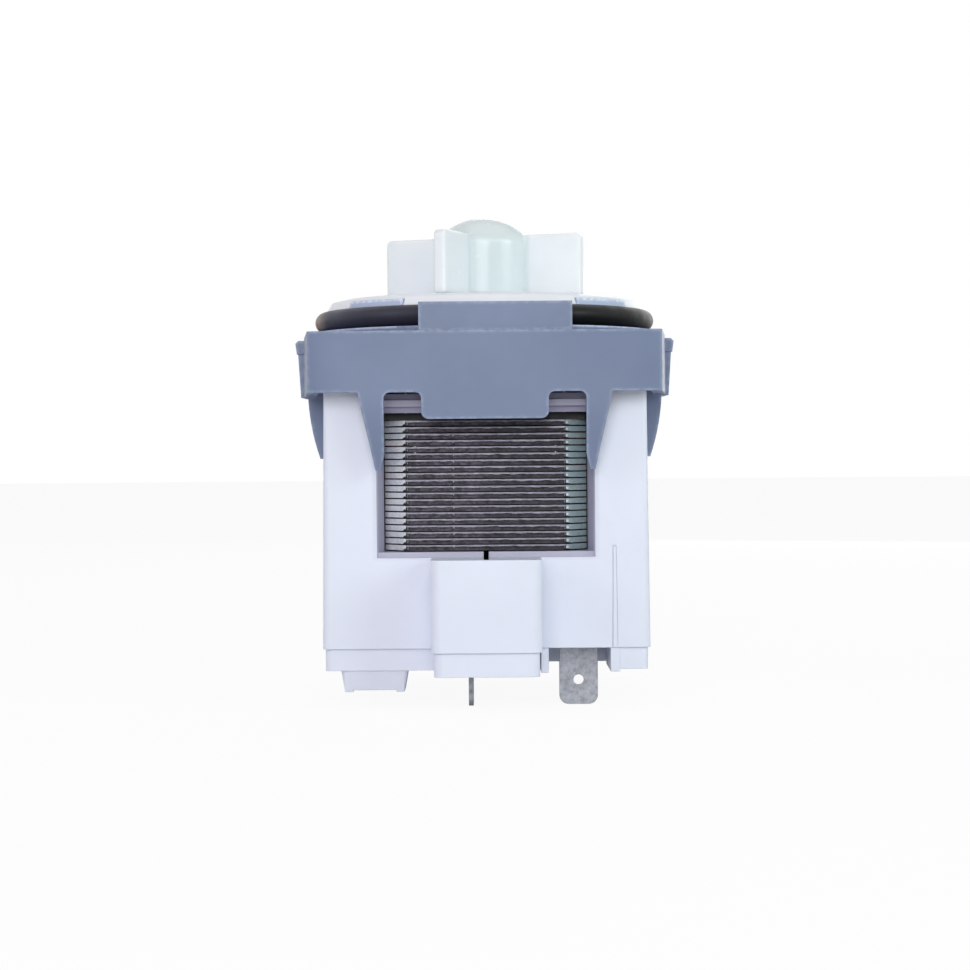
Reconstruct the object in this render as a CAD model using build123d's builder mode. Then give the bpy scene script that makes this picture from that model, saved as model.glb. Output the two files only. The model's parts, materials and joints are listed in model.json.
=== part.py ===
from build123d import *
from math import atan, degrees, sqrt
import os

# Washer drain pump with a two-pole synchronous motor.
# The origin is on the rotor's axis, in the plane of the collar's top.
# +Z points to the impeller and the terminal side faces -Y. Sizes are in millimetres.

# Gaps and fits
shaft_gap = 0.03
slip_gap = 0.1
wall_gap = 0.3
overrun = 1.0

# Shaft and its bearings
shaft_radius = 2.0
bush_wall = 2.0
bush_length = 6.0
mount_ring_wall = 1.8
pad_depth = 0.8
thrust_washer_thickness = 0.5
thrust_washer_wall = 1.8
seal_thickness = 1.6
seal_bush_gap = 1.85

# Rotor
magnet_radius = 10.1
magnet_overhang = 0.35
sleeve_radius = 5.5
sleeve_neck_wall = 1.4
sleeve_flange_radius = 8.5
sleeve_flange_thickness = 0.6

# Rotor can
can_gap = 0.6
can_wall = 1.3
can_floor = 1.5
can_end_gap = 2.65
pocket_wall = 1.5

# Stator core
sheet_count = 20
sheet_spacing = 1.065
sheet_groove = 0.12
sheet_groove_depth = 0.3
bore_gap = 0.4
pole_half = 8.5
yoke_width = 4.9
bar_width = 5.4
boss_height = 4.6
boss_side_inset = 7.4
boss_slope = 3.5
joint_offset = 5.3
rivet_radius = 1.25
rivet_stand = 0.3

# Bobbins and windings
bobbin_wall = 0.8
bobbin_bore_gap = 0.2
bobbin_bar_gap = 0.8
winding_thickness = 4.7
winding_length = 4.7
winding_corner = 3.0

# Coil housing
core_side_gap = 0.8
core_setback = 2.5
shell_wall = 1.8
shell_corner = 1.2
shell_draft = 0.55
shell_overlap = 1.25
pocket_clearance = 3.8
window_side_gap = 1.1
window_sill_drop = 0.9
jamb_inset = 0.95
jamb_slope_depth = 2.9
jamb_wall = 1.4
core_shelf_side = 0.8
snap_rib_height = 1.6
snap_rib_reach = 1.1
face_rib_width = 0.8
face_rib_reach = 0.12
face_rib_height = 16.5

# Stepped bar over each window of the housing
head_drop = 1.1
head_wall = 1.15
head_step_height = 1.0
head_step_inset = 1.0
head_setback = 0.9
head_lip_wall = 0.7
head_core_gap = 1.2

# Front block of the housing
block_half = 8.8
block_reach = 10.0
block_corner = 1.6
block_wall = 1.5
block_slot_width = 0.8
block_slot_depth = 2.0

# Rear cover
cover_inset = 0.4
cover_height = 3.5
cover_floor = 1.5
cover_plug = 1.5
cover_wall = 1.3
block_foot_height = 3.8
wing_width = 1.2
wing_reach = 2.2
bay_width = 10.0
bay_depth = 15.0
bay_rib_width = 1.5
bay_rib_drop = 0.4
bay_rib_reach = 0.25
foot_side_inset = 2.2
foot_length = 11.4
foot_tip_inset = 0.9
foot_depth = 10.0
foot_drop = 3.5
foot_recess_inset = 2.2
foot_recess_depth = 0.3

# Terminals
tab_width = 6.3
tab_thickness = 0.8
tab_reach = 6.2
tab_setback = 6.1
tab_hole_radius = 0.85
tab_corner = 1.5
tab_hole_setback = 4.0
tab_tang_width = 4.0
tab_tang_length = 3.0
centre_tab_offset = 2.6

# Thermal cut-out on the left winding
cutout_length = 8.0
cutout_width = 4.4
cutout_height = 2.6
cutout_corner = 1.0

# Collar of the flange
collar_height = 9.85
collar_wall = 1.9
collar_top_plate = 2.4
collar_margin_depth = 4.0
collar_margin_width = 4.0
collar_front_inset = 4.8
collar_corner_inset = 2.1
collar_corner_setback = 0.9
collar_side_half = 8.0

# Side lugs of the flange
lug_height = 1.6
lug_corner = 0.5
lug_step_inset = 0.2
lug_foot_inset = 0.9
lug_step_drop = 2.7
lug_top_drop = 0.4
lug_overhang = 0.2
lug_half_length = 6.5

# Tongues of the flange, above and below the collar
upper_tongue_half = 12.3
upper_tongue_height = 4.6
upper_tongue_wall = 1.5
upper_tongue_setback = 0.5
upper_tongue_offset = 1.75
apron_gap = 6.0
apron_drop = 4.3
apron_corner = 1.2
window_corner = 1.0

# Snap arms of the flange
front_arm_inset = 1.4
front_arm_width = 4.2
front_arm_tip_width = 1.4
front_arm_tip_lead = 0.6
front_arm_lead_height = 2.5
front_arm_length = 12.5
front_arm_clearance = 0.8
side_arm_length = 10.6
side_arm_half = 8.0
side_arm_setback = 0.6
side_arm_bow = 0.6
side_arm_lean = 2.0
side_arm_tip_width = 0.6
side_arm_wall = 2.0
side_arm_web = 1.5
side_barb_height = 2.4

# Press bars of the flange, which hold the stator core down
press_half = 16.4
press_overlap = 1.6
press_web_wall = 1.6
press_web_spacing = 12.0

# Spigot that carries the O-ring and the cap
tongue_ring_gap = 0.45
ledge_margin = 0.25
ledge_height = 1.0
ring_section = 3.5
ring_sides = 8
spigot_wall = 1.95
sector_angle = 26.0
sector_count = 4
sector_play = 1.0
sector_inset = 0.15
sector_nip = 0.95

# Front cap
cap_turn = 2.3
cap_top_wall = 0.85
cap_skirt_depth = 1.1
cap_rim_inset = 1.95
cap_rim_width = 2.8
cap_rim_shares = (0.68, 0.76)
cap_boss_wall = 1.4
cap_rib_count = 8
cap_rib_wall = 1.2
cap_rib_height = 2.2

# Impeller
impeller_gap = 0.6
hub_radius = 8.2
hub_height = 13.65
dome_height = 3.9
dome_corner = 2.4
blade_count = 4
blade_radius = 18.2
blade_thickness = 2.0
blade_height = 10.45
blade_corner = 0.6
impeller_turn = -24.0

# Lost-motion drive inside the hub
hub_cavity_radius = 5.3
hub_cavity_height = 6.5
retainer_thickness = 1.3
retainer_bore_gap = 0.3
dog_height = 4.0
dog_ring_wall = 1.2
dog_angle = 50.0
stop_angle = 50.0
damper_angle = 12.0
shaft_socket_depth = 4.0


def keep(piece, name):
    """Label a finished piece and write it to its own file."""
    piece.part.label = name
    export_step(piece.part, f"parts/{name}.step")


def sector(radius, angle, middle):
    """A pie slice of the given radius and angle, centred on the direction middle."""
    start = middle - angle / 2
    with BuildSketch() as slice_sketch:
        with BuildLine():
            rim = CenterArc((0, 0), radius, start, angle)
            Line((0, 0), rim @ 0)
            Line((0, 0), rim @ 1)
        make_face()
    return slice_sketch.sketch


os.makedirs("parts", exist_ok=True)

# Radii and widths, worked out from the rotor outwards
bush_radius = shaft_radius + bush_wall
thrust_washer_radius = shaft_radius + thrust_washer_wall
mount_ring_radius = bush_radius + mount_ring_wall
pocket_radius = mount_ring_radius + pocket_wall
can_inner_radius = magnet_radius + can_gap
can_outer_radius = can_inner_radius + can_wall
bore_radius = can_outer_radius + bore_gap
bobbin_start = bore_radius + bobbin_bore_gap
bobbin_tube_half = pole_half + slip_gap + bobbin_wall
bobbin_half = bobbin_tube_half + winding_thickness + slip_gap
bobbin_length = winding_length + 2 * bobbin_wall
yoke_inner = bobbin_start + bobbin_length + slip_gap
yoke_outer = yoke_inner + yoke_width
bar_inner = bobbin_half + bobbin_bar_gap
bar_outer = bar_inner + bar_width
boss_reach = bar_outer + boss_height
boss_half = yoke_outer - boss_side_inset
shell_half_width = yoke_outer + core_side_gap + shell_wall
shell_half_depth = boss_reach + core_setback
window_half = boss_half + window_side_gap
jamb_half = window_half - jamb_inset
collar_half_width = shell_half_width + collar_margin_width
collar_half_depth = shell_half_depth + collar_margin_depth
ring_outer_radius = collar_half_depth - upper_tongue_setback - upper_tongue_wall - tongue_ring_gap
ring_centre_radius = ring_outer_radius - ring_section / 2
spigot_radius = ring_centre_radius - ring_section / 2
spigot_inner_radius = spigot_radius - spigot_wall
cap_rim_radius = ring_outer_radius - cap_rim_inset
cap_flat_radius = cap_rim_radius - cap_rim_width
sector_radius = cap_rim_radius - sector_inset

# Heights above the collar's top
cap_skirt_bottom = ledge_height + ring_section
spigot_height = cap_skirt_bottom + cap_skirt_depth
sector_bottom = cap_skirt_bottom - sector_nip
cap_top = spigot_height + cap_top_wall
front_bush_top = cap_top - seal_thickness - seal_bush_gap
front_bush_bottom = front_bush_top - bush_length
impeller_bottom = cap_top + impeller_gap
sector_middles = [45.0 + 90.0 * step + cap_turn for step in range(sector_count)]

# Depths below the collar's top
head_top = collar_height + head_drop
head_middle = head_top + head_wall
head_bottom = head_middle + head_step_height
core_top = head_bottom + head_core_gap
core_length = sheet_count * sheet_spacing
core_bottom = core_top + core_length
core_middle_z = -(core_top + core_bottom) / 2
magnet_top = core_top - magnet_overhang
magnet_bottom = core_bottom + magnet_overhang
can_length = magnet_bottom + can_end_gap
rear_bush_top = -can_length - thrust_washer_thickness
rear_bush_bottom = rear_bush_top - bush_length
pocket_floor_z = rear_bush_bottom - pad_depth
seam_depth = -pocket_floor_z + can_floor + pocket_clearance
cover_bottom = seam_depth + cover_height
tab_tip_depth = cover_bottom + tab_reach

# Outline of the collar, a quarter of it drawn and mirrored twice
with BuildSketch() as collar_outline:
    with BuildLine():
        Polyline(
            (0, -collar_half_depth),
            (collar_half_width - collar_front_inset, -collar_half_depth),
            (
                collar_half_width - collar_corner_inset,
                -collar_half_depth + collar_corner_setback,
            ),
            (collar_half_width, -collar_side_half),
            (collar_half_width, 0),
        )
        mirror(about=Plane.XZ)
        mirror(about=Plane.YZ)
    make_face()

# Flange: collar, spigot, rotor can, lugs, tongues and snap arms in one moulding
arm_root = collar_height - collar_top_plate
front_arm_tip = -collar_height - front_arm_length
front_arm_inner = window_half - front_arm_inset
front_arm_outer = front_arm_inner + front_arm_width
front_arm_lean = collar_margin_depth - collar_wall - front_arm_clearance
apron_half = front_arm_inner - apron_gap
side_arm_reach = collar_half_width - side_arm_setback
side_arm_tip = -collar_height - side_arm_length
lug_reach = collar_half_width + lug_height

# Apron tongue and front snap arms, drawn from the front and cut to a leaning plate
with BuildPart() as front_plate:
    with BuildSketch(Plane.XZ):
        with BuildLine():
            Polyline(
                (0, -arm_root),
                (front_arm_outer, -arm_root),
                (front_arm_outer, -collar_height),
                (front_arm_inner + front_arm_tip_width, front_arm_tip),
                (front_arm_inner + front_arm_tip_lead, front_arm_tip),
                (front_arm_inner, front_arm_tip + front_arm_lead_height),
                (front_arm_inner, -collar_height),
                (apron_half, -collar_height),
                (apron_half, -collar_height - apron_drop),
                (0, -collar_height - apron_drop),
            )
            mirror(about=Plane.YZ)
        make_face()
    extrude(amount=collar_half_depth)
    inner_corners = front_plate.edges().filter_by(Axis.Y).filter_by(
        lambda e: abs(e.center().Z + collar_height) < slip_gap
        and abs(e.center().X) < front_arm_outer - slip_gap
    )
    fillet(inner_corners, radius=window_corner)
    apron_corners = front_plate.edges().filter_by(Axis.Y).filter_by(
        lambda e: abs(e.center().Z + collar_height + apron_drop) < slip_gap
    )
    fillet(apron_corners, radius=apron_corner)
    with BuildSketch(Plane.YZ):
        with BuildLine():
            Polyline(
                (-collar_half_depth, -arm_root),
                (-collar_half_depth, -collar_height - apron_drop),
                (-collar_half_depth + front_arm_lean, front_arm_tip),
                (-collar_half_depth + front_arm_lean + collar_wall, front_arm_tip),
                (-collar_half_depth + collar_wall, -collar_height - apron_drop),
                (-collar_half_depth + collar_wall, -arm_root),
                close=True,
            )
        make_face()
    extrude(amount=collar_half_width, both=True, mode=Mode.INTERSECT)

with BuildPart() as pump_flange:
    # Collar: a top plate with a skirt
    with BuildSketch():
        add(collar_outline.sketch)
    extrude(amount=-collar_height)
    with BuildSketch(Plane.XY.offset(-collar_top_plate)):
        add(collar_outline.sketch)
        offset(amount=-collar_wall, kind=Kind.INTERSECTION)
    extrude(amount=-collar_height, mode=Mode.SUBTRACT)

    # Side lugs: a leaning block under a lip that stands a little proud of it
    lug_root = collar_half_width - collar_wall
    lug_bottom = collar_height + lug_overhang
    lug_lip_reach = lug_reach - lug_foot_inset * lug_step_drop / lug_bottom
    with BuildSketch(Plane.XZ):
        with BuildLine():
            Polyline(
                (lug_root, -lug_top_drop),
                (lug_reach - lug_corner, -lug_top_drop),
                (lug_reach, -lug_top_drop - lug_corner),
                (lug_lip_reach, -lug_step_drop),
                (lug_root, -lug_step_drop),
                close=True,
            )
        make_face()
        mirror(about=Plane.YZ)
    extrude(amount=lug_half_length, both=True)
    with BuildSketch(Plane.XZ):
        with BuildLine():
            Polyline(
                (lug_root, -lug_step_drop),
                (lug_lip_reach - lug_step_inset, -lug_step_drop),
                (lug_reach - lug_foot_inset, -lug_bottom),
                (lug_root, -lug_bottom),
                close=True,
            )
        make_face()
        mirror(about=Plane.YZ)
    extrude(amount=lug_half_length - lug_step_inset, both=True)

    # Apron tongues and front snap arms
    add(front_plate.part)
    mirror(front_plate.part, about=Plane.XZ)

    # Side snap arms: a bowed plate with a web along each edge and an inward barb
    side_arm_inner = shell_half_width + wall_gap
    side_arm_tip_reach = side_arm_reach - side_arm_lean
    with BuildSketch(Plane.XZ):
        with BuildLine():
            ThreePointArc(
                (side_arm_reach, -collar_height),
                (side_arm_reach - side_arm_bow, (side_arm_tip - collar_height) / 2),
                (side_arm_tip_reach, side_arm_tip),
            )
            Polyline(
                (side_arm_tip_reach, side_arm_tip),
                (side_arm_tip_reach - side_arm_tip_width, side_arm_tip),
                (side_arm_inner, side_arm_tip + side_barb_height / 2),
                (side_arm_inner, -arm_root),
                (side_arm_reach, -arm_root),
                (side_arm_reach, -collar_height),
            )
        make_face()
        mirror(about=Plane.YZ)
    extrude(amount=side_arm_half, both=True)
    side_pocket_reach = side_arm_reach - side_arm_wall
    with BuildSketch(Plane.XY.offset(side_arm_tip + side_barb_height)):
        Rectangle(2 * side_pocket_reach, 2 * (side_arm_half - side_arm_web))
        Rectangle(
            2 * (side_arm_inner - overrun), 2 * side_arm_half, mode=Mode.SUBTRACT
        )
    extrude(amount=side_arm_length - side_barb_height, mode=Mode.SUBTRACT)

    # Upper tongues, front and rear
    tongue_middle = collar_half_depth - upper_tongue_setback - upper_tongue_wall / 2
    with BuildSketch():
        with Locations((upper_tongue_offset, -tongue_middle), (-upper_tongue_offset, tongue_middle)):
            Rectangle(2 * upper_tongue_half, upper_tongue_wall)
    extrude(amount=upper_tongue_height)

    # Press bars on webs under the top plate
    press_inner = bar_inner + slip_gap
    press_depth = bar_outer + press_overlap - press_inner
    press_middle = press_inner + press_depth / 2
    with BuildSketch(Plane.XY.offset(-core_top)):
        with Locations((0, -press_middle), (0, press_middle)):
            Rectangle(2 * press_half, press_depth)
    extrude(amount=core_top - head_bottom)
    with BuildSketch(Plane.XY.offset(-core_top)):
        with Locations((0, -press_middle), (0, press_middle)):
            with GridLocations(press_web_spacing, 0, 3, 1):
                Rectangle(press_web_wall, press_depth)
    extrude(amount=core_top - collar_top_plate)

    # Ledge and spigot of the O-ring, with four sectors that lock the cap
    with BuildSketch():
        Circle(ring_outer_radius + ledge_margin)
    extrude(amount=ledge_height)
    with BuildSketch():
        Circle(spigot_radius)
    extrude(amount=spigot_height)
    with BuildSketch(Plane.XY.offset(sector_bottom)):
        for middle in sector_middles:
            add(sector(sector_radius, sector_angle, middle))
    extrude(amount=spigot_height - sector_bottom)

    # Rotor can with the pocket of the rear bearing
    with BuildSketch():
        Circle(can_outer_radius)
    extrude(amount=-can_length - can_floor)
    with BuildSketch():
        Circle(pocket_radius)
    extrude(amount=pocket_floor_z - can_floor)

    # Hollows of the spigot, the can and the pocket
    with BuildSketch():
        Circle(spigot_inner_radius)
    extrude(amount=spigot_height, mode=Mode.SUBTRACT)
    with BuildSketch():
        Circle(can_inner_radius)
    extrude(amount=-can_length, mode=Mode.SUBTRACT)
    with BuildSketch():
        Circle(mount_ring_radius)
    extrude(amount=pocket_floor_z, mode=Mode.SUBTRACT)
keep(pump_flange, "pump_flange")

# O-ring, squeezed between the ledge, the spigot and the cap, and nipped by the four sectors
with BuildPart() as flange_o_ring:
    with BuildSketch(Plane.XZ):
        with Locations((ring_centre_radius, ledge_height + ring_section / 2)):
            RegularPolygon(
                ring_section / 2, ring_sides, major_radius=False, rotation=180 / ring_sides
            )
        with Locations((sector_radius, sector_bottom)):
            Rectangle(
                ring_section, ring_section, align=(Align.MAX, Align.MIN), mode=Mode.SUBTRACT
            )
    revolve(axis=Axis.Z)
keep(flange_o_ring, "flange_o_ring")

# Front cap: a disc with a broken rim, a castellated skirt and a boss for the front bearing
boss_radius = mount_ring_radius + cap_boss_wall
with BuildPart() as front_cap:
    with BuildSketch(Plane.XZ):
        with BuildLine():
            Polyline(
                (0, spigot_height),
                (0, cap_top),
                (cap_flat_radius, cap_top),
                (
                    cap_flat_radius + cap_rim_shares[0] * cap_rim_width,
                    cap_skirt_bottom + cap_rim_shares[1] * (cap_top - cap_skirt_bottom),
                ),
                (cap_rim_radius, cap_skirt_bottom),
                (spigot_radius + slip_gap, cap_skirt_bottom),
                (spigot_radius + slip_gap, spigot_height),
                close=True,
            )
        make_face()
    revolve(axis=Axis.Z)
    with BuildSketch(Plane.XY.offset(cap_skirt_bottom)):
        for middle in sector_middles:
            add(sector(cap_rim_radius + overrun, sector_angle + sector_play, middle))
    extrude(amount=spigot_height - cap_skirt_bottom, mode=Mode.SUBTRACT)
    # Boss and ribs under the disc
    with BuildSketch(Plane.XY.offset(spigot_height)):
        Circle(boss_radius)
        with PolarLocations((boss_radius + spigot_inner_radius) / 2 - slip_gap, cap_rib_count):
            Rectangle(spigot_inner_radius - boss_radius, cap_rib_wall)
    extrude(amount=-cap_rib_height)
    with BuildSketch(Plane.XY.offset(spigot_height)):
        Circle(boss_radius)
    extrude(amount=-(spigot_height - front_bush_bottom))
    with BuildSketch(Plane.XY.offset(front_bush_bottom)):
        Circle(mount_ring_radius)
    extrude(amount=bush_length, mode=Mode.SUBTRACT)
    with BuildSketch(Plane.XY.offset(front_bush_bottom)):
        Circle(bush_radius)
    extrude(amount=cap_top - front_bush_bottom, mode=Mode.SUBTRACT)
keep(front_cap, "front_cap")

# Coil housing: a drafted square tube with a window front and rear and a block on its front
shell_height = seam_depth - collar_height + shell_overlap
window_sill = core_bottom + window_sill_drop
block_front = shell_half_depth + block_reach
bay_middle = block_half + wing_width + bay_width / 2
bay_rib_middle = bay_middle + (bay_width + bay_rib_width) / 2

with BuildSketch() as shell_outline:
    RectangleRounded(2 * shell_half_width, 2 * shell_half_depth, shell_corner)

with BuildPart() as coil_housing:
    with BuildSketch(Plane.XY.offset(-seam_depth)):
        add(shell_outline.sketch)
    extrude(amount=shell_height, taper=shell_draft)

    # Front block with rounded upright corners, joined to the shell behind it
    with BuildSketch(Plane.XY.offset(-seam_depth)):
        with Locations((0, -(block_front + shell_half_depth - shell_wall) / 2)):
            Rectangle(2 * block_half, block_reach + shell_wall)
    extrude(amount=seam_depth - window_sill)
    block_uprights = coil_housing.edges().filter_by(Axis.Z).group_by(Axis.Y)[0]
    fillet(block_uprights, radius=block_corner)

    # Snap ribs on the sides, above the barbs of the flange's side arms
    snap_rib_bottom = side_arm_tip + side_barb_height + slip_gap
    with BuildSketch(Plane.XY.offset(snap_rib_bottom)):
        Rectangle(
            2 * (shell_half_width + snap_rib_reach), 2 * (side_arm_half - side_arm_web - wall_gap)
        )
    extrude(amount=snap_rib_height, taper=shell_draft)

    # Faint rib on the front, above the rib of the cover
    with BuildSketch(Plane.XY.offset(-seam_depth)):
        with Locations((bay_rib_middle, 0)):
            Rectangle(
                face_rib_width, shell_half_depth + face_rib_reach, align=(Align.CENTER, Align.MAX)
            )
    extrude(amount=face_rib_height, taper=shell_draft)

    # Hollow of the shell and of the block
    with BuildSketch(Plane.XY.offset(-seam_depth)):
        add(shell_outline.sketch)
        offset(amount=-shell_wall, kind=Kind.INTERSECTION)
    extrude(amount=shell_height, taper=shell_draft, mode=Mode.SUBTRACT)
    with BuildSketch(Plane.XY.offset(-seam_depth)):
        with Locations((0, -(block_front - block_wall + shell_half_depth - shell_wall) / 2)):
            Rectangle(2 * (block_half - block_wall), block_reach + shell_wall - block_wall)
    extrude(amount=seam_depth - window_sill - block_wall, mode=Mode.SUBTRACT)

    # Windows front and rear
    with BuildSketch(Plane.XY.offset(-window_sill)):
        Rectangle(2 * window_half, 2 * (shell_half_depth + overrun))
    extrude(amount=window_sill, mode=Mode.SUBTRACT)

    # Stepped bar over each window, set back so that the core can drop in behind it
    head_reach = shell_half_depth - head_setback
    head_back = boss_reach + wall_gap
    with BuildSketch(Plane.YZ):
        with BuildLine():
            Polyline(
                (-head_reach, -head_top),
                (-head_reach, -head_middle),
                (-head_reach + head_step_inset, -head_middle),
                (-head_reach + head_step_inset, -head_bottom),
                (-head_back, -head_bottom),
                (-head_back, -collar_height - slip_gap),
                (-head_back - head_lip_wall, -collar_height - slip_gap),
                (-head_back - head_lip_wall, -head_top),
                close=True,
            )
        make_face()
        mirror(about=Plane.YZ)
    extrude(amount=window_half + jamb_wall, both=True)

    # Sloping jambs inside the windows, which guide the core
    with BuildSketch(Plane.XY.offset(-window_sill)):
        with BuildLine():
            Polyline(
                (window_half, -shell_half_depth + shell_draft),
                (jamb_half, -shell_half_depth + jamb_slope_depth),
                (jamb_half, -bar_outer - wall_gap),
                (jamb_half + jamb_wall, -bar_outer - wall_gap),
                (jamb_half + jamb_wall, -shell_half_depth + jamb_slope_depth),
                (window_half + jamb_wall, -shell_half_depth + shell_draft),
                close=True,
            )
        make_face()
        mirror(about=Plane.XZ)
        mirror(about=Plane.YZ)
    extrude(amount=window_sill - head_bottom)

    # Shelves under the core, front and rear
    shelf_depth = shell_half_depth - bar_inner - shell_wall / 2
    with BuildSketch(Plane.XY.offset(-core_bottom)):
        with Locations((0, -bar_inner - shelf_depth / 2), (0, bar_inner + shelf_depth / 2)):
            Rectangle(2 * (window_half + core_shelf_side), shelf_depth)
    extrude(amount=-shell_wall)

    # Slot through the front shelf and the top of the block
    slot_length = block_front - block_wall - bar_inner + overrun
    with BuildSketch(Plane.XY.offset(-core_bottom)):
        with Locations((0, -block_front + block_wall + slot_length / 2)):
            Rectangle(block_slot_width, slot_length)
    extrude(amount=-window_sill_drop - block_slot_depth, mode=Mode.SUBTRACT)
keep(coil_housing, "coil_housing")

# Rear cover: plate and plug that close the shell, with the block's foot, the bay and the foot
cover_half_width = shell_half_width - cover_inset
cover_half_depth = shell_half_depth - cover_inset
tab_y = cover_half_depth - tab_setback
foot_middle = -cover_half_width + foot_side_inset + foot_length / 2

with BuildPart() as rear_cover:
    with BuildSketch(Plane.XY.offset(-seam_depth)):
        RectangleRounded(2 * cover_half_width, 2 * cover_half_depth, shell_corner)
    extrude(amount=-cover_height)
    # Plug inside the shell
    plug_inset = shell_wall + slip_gap
    with BuildSketch(Plane.XY.offset(-seam_depth)):
        Rectangle(2 * (shell_half_width - plug_inset), 2 * (shell_half_depth - plug_inset))
    extrude(amount=cover_plug, taper=shell_draft)
    # Hollow above the floor
    with BuildSketch(Plane.XY.offset(-cover_bottom + cover_floor)):
        Rectangle(
            2 * (shell_half_width - plug_inset - cover_wall),
            2 * (shell_half_depth - plug_inset - cover_wall),
        )
    extrude(amount=cover_height, mode=Mode.SUBTRACT)

    # Lower end of the front block and the wing beside it
    with BuildSketch(Plane.XY.offset(-seam_depth)):
        with Locations((0, -(block_front - cover_inset + cover_half_depth - cover_wall) / 2)):
            Rectangle(2 * (block_half - cover_inset), block_reach + cover_wall)
    extrude(amount=-block_foot_height)
    fillet(rear_cover.edges().filter_by(Axis.Z).group_by(Axis.Y)[0], radius=block_corner)
    with BuildSketch(Plane.XY.offset(-seam_depth)):
        with Locations((block_half + wing_width / 2 - slip_gap, -shell_half_depth)):
            Rectangle(wing_width, 2 * wing_reach)
    extrude(amount=-block_foot_height)

    # Walls of the terminal bay, then the bay itself, open to the front and below
    with BuildSketch(Plane.XY.offset(-seam_depth + cover_plug)):
        with Locations((bay_middle, -cover_half_depth + plug_inset + (bay_depth + cover_wall) / 2)):
            Rectangle(bay_width + 2 * cover_wall, bay_depth + cover_wall)
    extrude(amount=-cover_plug - cover_height)
    with BuildSketch(Plane.XY.offset(-seam_depth)):
        with Locations((bay_middle, -cover_half_depth + bay_depth / 2 - overrun)):
            Rectangle(bay_width, bay_depth + 2 * overrun)
    extrude(amount=-cover_height, mode=Mode.SUBTRACT)
    # Rib beside the bay
    with BuildSketch(Plane.XY.offset(-seam_depth)):
        with Locations((bay_rib_middle, -cover_half_depth + (bay_depth - bay_rib_reach) / 2)):
            Rectangle(bay_rib_width, bay_depth + bay_rib_reach)
    extrude(amount=-cover_height - bay_rib_drop)

    # Foot with a shallow recess in its end
    with BuildSketch(Plane.XY.offset(-cover_bottom + cover_floor)):
        with Locations((foot_middle, -cover_half_depth + foot_depth / 2)):
            RectangleRounded(foot_length, foot_depth, shell_corner)
    foot_draft = degrees(atan(foot_tip_inset / (foot_drop + cover_floor)))
    extrude(amount=-foot_drop - cover_floor, taper=foot_draft)
    with BuildSketch(Plane.XY.offset(-cover_bottom - foot_drop)):
        with Locations((foot_middle, -cover_half_depth + foot_depth / 2)):
            Rectangle(foot_length - 2 * foot_recess_inset, foot_depth)
    extrude(amount=foot_recess_depth, mode=Mode.SUBTRACT)

    # Slots for the two terminals
    with BuildSketch(Plane.XY.offset(-seam_depth + cover_plug)):
        with Locations((bay_middle, -tab_y)):
            Rectangle(tab_width + 2 * shaft_gap, tab_thickness + 2 * shaft_gap)
        with Locations((-centre_tab_offset, -tab_y)):
            Rectangle(tab_thickness + 2 * shaft_gap, tab_width + 2 * shaft_gap)
    extrude(amount=-cover_plug - cover_height, mode=Mode.SUBTRACT)
keep(rear_cover, "rear_cover")

# Stator core: two half packs that meet at a stepped joint, turned half a turn from each other
groove_count = sheet_count - 1
boss_flat_half = boss_half - boss_slope
rivet_x = (yoke_inner + yoke_outer) / 2
rivet_y = (bar_inner + bar_outer) / 2
with BuildPart() as stator_core_left:
    with BuildSketch(Plane.XY.offset(-core_bottom)):
        with BuildLine():
            Polyline(
                (-joint_offset, -bar_inner),
                (-joint_offset, -boss_reach),
                (-boss_flat_half, -boss_reach),
                (-boss_half, -bar_outer),
                (-yoke_outer, -bar_outer),
                (-yoke_outer, bar_outer),
                (-boss_half, bar_outer),
                (-boss_flat_half, boss_reach),
                (joint_offset, boss_reach),
                (joint_offset, bar_inner),
                (-yoke_inner, bar_inner),
                (-yoke_inner, pole_half),
                (-bore_radius + pole_half / 2, pole_half),
                (-bore_radius + pole_half / 2, -pole_half),
                (-yoke_inner, -pole_half),
                (-yoke_inner, -bar_inner),
                close=True,
            )
        make_face()
        Circle(bore_radius, mode=Mode.SUBTRACT)
        with Locations((-rivet_x, -rivet_y), (-rivet_x, rivet_y)):
            Circle(rivet_radius + shaft_gap, mode=Mode.SUBTRACT)
    extrude(amount=core_length)
    # Gaps between the sheets, cut where the boss shows in the windows
    groove_span = boss_half + joint_offset
    with BuildSketch(Plane.YZ.offset(joint_offset)):
        with Locations((-boss_reach, core_middle_z)):
            with GridLocations(0, sheet_spacing, 1, groove_count):
                Rectangle(2 * sheet_groove_depth, sheet_groove)
        mirror(about=Plane.YZ)
    extrude(amount=-groove_span, mode=Mode.SUBTRACT)
keep(stator_core_left, "stator_core_left")

with BuildPart() as stator_core_right:
    add(stator_core_left.part.rotate(Axis.Z, 180))
keep(stator_core_right, "stator_core_right")

# Rivets through the corners of the core
with BuildPart() as core_rivets:
    with BuildSketch(Plane.XY.offset(-core_bottom - rivet_stand)):
        with GridLocations(2 * rivet_x, 2 * rivet_y, 2, 2):
            Circle(rivet_radius)
    extrude(amount=core_length + 2 * rivet_stand)
keep(core_rivets, "core_rivets")

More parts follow.
